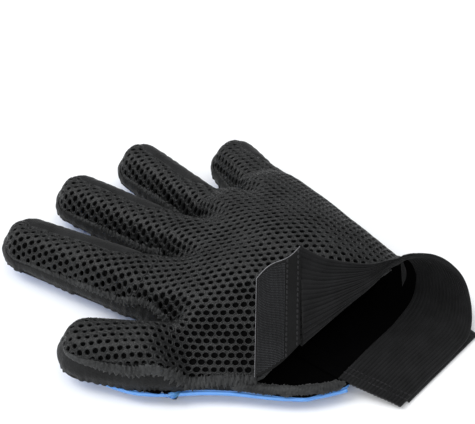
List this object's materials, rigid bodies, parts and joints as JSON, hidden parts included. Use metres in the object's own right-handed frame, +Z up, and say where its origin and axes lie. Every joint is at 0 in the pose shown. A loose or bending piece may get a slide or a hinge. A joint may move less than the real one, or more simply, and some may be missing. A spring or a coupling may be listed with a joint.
{
  "type": "grooming glove",
  "caption": "Right-hand pet grooming glove: mesh back, side gussets, silicone pin pads on the palm and fingers, open hook-and-loop elastic cuff.",
  "frame": {"origin": "middle of the glove's footprint, on the surface that the pin tips rest on", "axes": "+Y towards the fingertips, +Z up through the mesh back, +X towards the little finger"},
  "size_m": [0.1691, 0.221, 0.0539],
  "materials": {
    "mesh": "black polyester spacer mesh with oval holes",
    "gusset": "black fine-knit polyester strip",
    "lining": "black woven lining",
    "silicone": "satin blue silicone",
    "elastic": "black ribbed elastic webbing",
    "loop": "black brushed loop pile",
    "hook": "black hook tape with a pale selvedge"
  },
  "bodies": {
    "hand": {"hand_back": "mesh", "thumb_side_gusset": "gusset", "little_side_gusset": "gusset", "fork_gussets": "gusset", "palm_lining": "lining", "palm_pad": "silicone", "cuff_band": "elastic", "loop_panel": "loop"},
    "thumb": {"thumb_back": "mesh", "thumb_gusset": "gusset", "thumb_lining": "lining", "thumb_pad": "silicone"},
    "index": {"index_back": "mesh", "index_gusset": "gusset", "index_lining": "lining", "index_pad": "silicone"},
    "middle": {"middle_back": "mesh", "middle_gusset": "gusset", "middle_lining": "lining", "middle_pad": "silicone"},
    "ring": {"ring_back": "mesh", "ring_gusset": "gusset", "ring_lining": "lining", "ring_pad": "silicone"},
    "little": {"little_back": "mesh", "little_gusset": "gusset", "little_lining": "lining", "little_pad": "silicone"},
    "lapel": {"cuff_lapel": "elastic"},
    "tab": {"tab_backing": "elastic", "hook_tape": "hook"}
  },
  "joints": [
    {"name": "thumb_knuckle", "type": "hinge", "parent": "hand", "child": "thumb", "pos_m": [-0.05905, -0.001, 0.005], "axis": [-0.9461, -0.3239, 0], "range_deg": [0, 70], "stiffness_Nm_per_rad": 0.03},
    {"name": "index_knuckle", "type": "hinge", "parent": "hand", "child": "index", "pos_m": [-0.02805, 0.028, 0.005], "axis": [-0.999, -0.0436, 0], "range_deg": [0, 70], "stiffness_Nm_per_rad": 0.03},
    {"name": "middle_knuckle", "type": "hinge", "parent": "hand", "child": "middle", "pos_m": [0.00295, 0.034, 0.005], "axis": [-0.9966, 0.0819, 0], "range_deg": [0, 70], "stiffness_Nm_per_rad": 0.03},
    {"name": "ring_knuckle", "type": "hinge", "parent": "hand", "child": "ring", "pos_m": [0.02745, 0.0265, 0.005], "axis": [-0.9573, 0.289, 0], "range_deg": [0, 70], "stiffness_Nm_per_rad": 0.03},
    {"name": "little_knuckle", "type": "hinge", "parent": "hand", "child": "little", "pos_m": [0.05445, 0.0143, 0.005], "axis": [-0.8377, 0.5461, 0], "range_deg": [0, 70], "stiffness_Nm_per_rad": 0.03},
    {"name": "cuff_fold", "type": "hinge", "parent": "hand", "child": "lapel", "pos_m": [-0.03205, -0.05, 0.025], "axis": [0.8566, -0.4846, 0.1771], "range_deg": [0, 155]},
    {"name": "tab_seam", "type": "hinge", "parent": "lapel", "child": "tab", "pos_m": [-0.03205, -0.05, 0.025], "axis": [0.667, 0.3622, 0.6512], "range_deg": [0, 35]}
  ]
}
